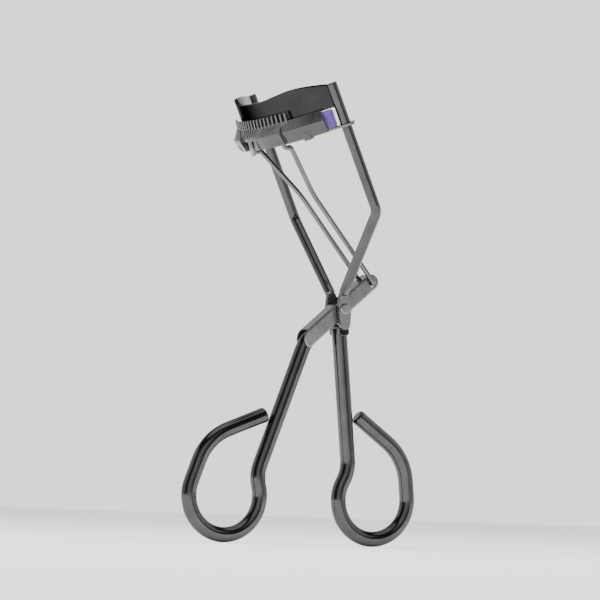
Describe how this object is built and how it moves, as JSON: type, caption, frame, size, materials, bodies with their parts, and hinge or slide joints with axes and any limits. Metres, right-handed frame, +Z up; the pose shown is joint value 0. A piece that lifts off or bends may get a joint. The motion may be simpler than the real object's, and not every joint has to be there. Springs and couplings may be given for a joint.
{
  "type": "eyelash curler",
  "caption": "Hand-held eyelash curler: squeezing its two finger rings lifts a curved, padded lower jaw with a lash comb against a curved upper jaw, so that it bends lashes upwards",
  "frame": {"origin": "on the surface that the two finger rings stand on, under the middle of the whole curler's footprint at rest", "axes": "+X across the jaws towards the right-hand upright as seen from the front; +Y towards the user's eye, the concave side of the jaws; +Z up. The curler stands level on both finger rings, jaws nearly closed, its uprights leaning 24.04 degrees towards -Y."},
  "size_m": [0.046, 0.0574, 0.1011],
  "materials": {
    "frame_rod": "polished black chrome on round steel rod",
    "handle_rod": "polished black chrome on round steel rod",
    "jaw_plate": "dark glossy black chrome on a curved steel strip",
    "rivet": "satin gunmetal, domed head",
    "bracket": "satin gunmetal on pressed steel",
    "yoke_wire": "polished gunmetal wire",
    "jaw_channel": "satin gunmetal on pressed steel",
    "pad": "soft purple silicone with a slight sheen",
    "comb": "glossy black moulded plastic"
  },
  "bodies": {
    "frame": {"upright_left": "frame_rod", "upright_right": "frame_rod", "upper_jaw": "jaw_plate", "fixed_handle": "handle_rod", "pivot_rivet": "rivet"},
    "lever": {"lever_bracket": "bracket", "lever_handle": "handle_rod"},
    "yoke_link": {"yoke": "yoke_wire"},
    "moving_jaw": {"lower_jaw": "jaw_channel", "lash_pad": "pad", "lash_comb": "comb"}
  },
  "joints": [
    {"name": "lever_pivot", "type": "hinge", "parent": "frame", "child": "lever", "pos_m": [0, 0.00804, 0.05253], "axis": [1, 0, 0], "range_deg": [-42, 0.8]},
    {"name": "yoke_pivot", "type": "hinge", "parent": "lever", "child": "yoke_link", "pos_m": [0, 0.01539, 0.05856], "axis": [1, 0, 0], "range_deg": [-0.9, 42]},
    {"name": "jaw_slide", "type": "slide", "parent": "frame", "child": "moving_jaw", "axis": [0, -0.4074, 0.9133], "range_m": [-0.0066, 0.00015]}
  ],
  "couplings": [
    {"joint": "yoke_pivot", "follows": "lever_pivot", "ratio": -0.99},
    {"joint": "jaw_slide", "follows": "lever_pivot", "m_per_rad": 0.00894}
  ]
}
